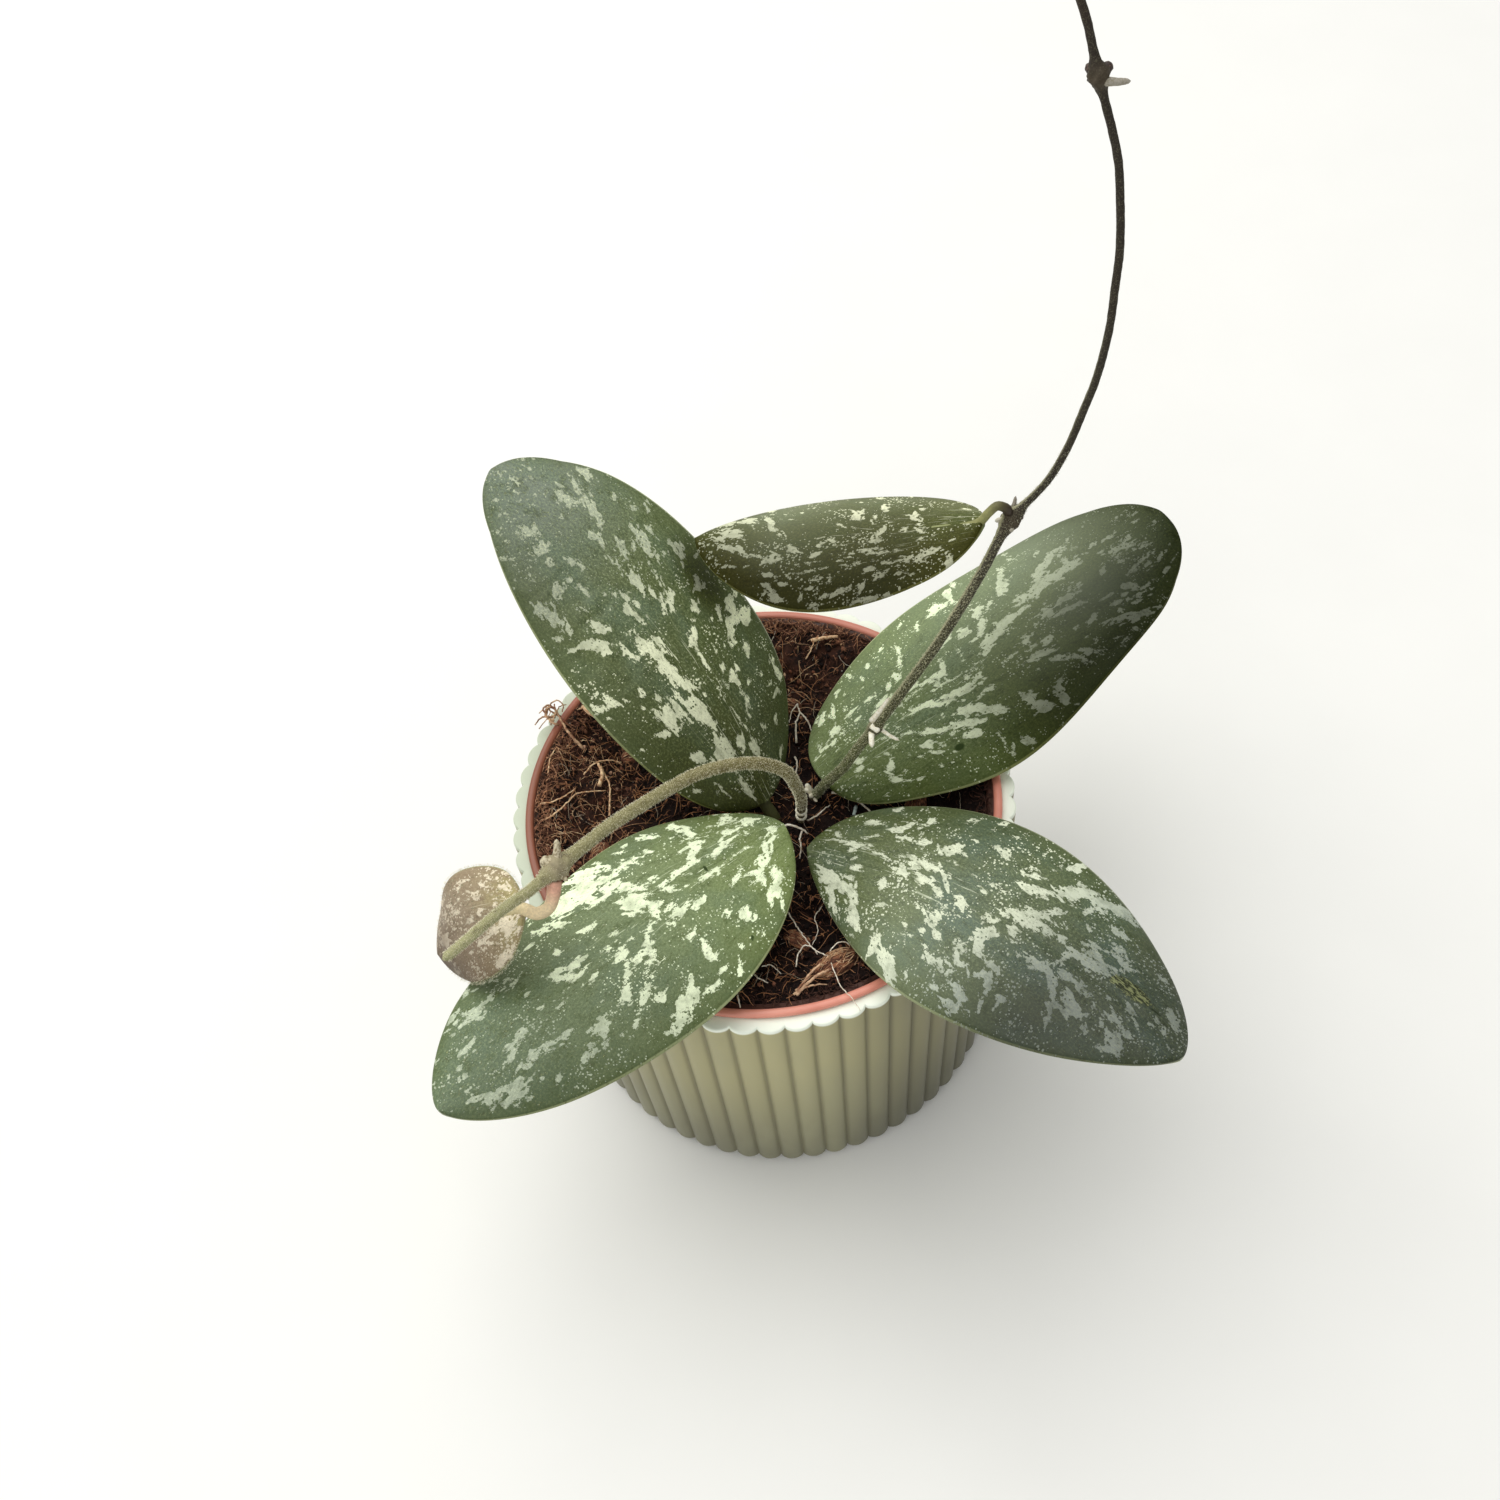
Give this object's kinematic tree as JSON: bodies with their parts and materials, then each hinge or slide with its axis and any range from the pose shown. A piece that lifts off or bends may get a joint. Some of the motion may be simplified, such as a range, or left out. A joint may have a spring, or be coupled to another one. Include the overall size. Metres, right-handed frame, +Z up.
{
  "type": "potted hoya sigillatis",
  "caption": "Climbing hoya with silver-flecked fleshy leaves, a trailing shoot and a climbing vine, in a nursery pot inside a ribbed cachepot.",
  "frame": {"origin": "centre of the cachepot's flat base", "axes": "+Z up, -Y towards the front, from which the picture looks down at the plant, +X to the right"},
  "size_m": [0.1721, 0.1458, 0.2597],
  "materials": {
    "cachepot": "pale sage green moulded ribs, satin, lighter along the rim",
    "nursery_pot": "terracotta coloured thin moulded plastic, satin",
    "soil": "dark reddish brown coir and peat mix with golden fibres, rough, lightly moist",
    "leaf": "dark green fleshy blade splashed and flecked with silver mint, satin",
    "young_leaf": "mauve brown young blade with pale flecks, short fine hairs",
    "shoot": "olive grey young stem under short fine hairs",
    "vine": "olive brown to dark brown older stem, speckled"
  },
  "bodies": {
    "root": {"cachepot": "cachepot", "nursery_pot": "nursery_pot", "soil": "soil", "stem_shoot": "shoot", "stem_vine": "vine", "leaf_back_left": "leaf", "leaf_back_right": "leaf", "leaf_front_left": "leaf", "leaf_front_right": "leaf", "leaf_vine": "leaf", "leaf_young": "young_leaf"}
  },
  "joints": []
}
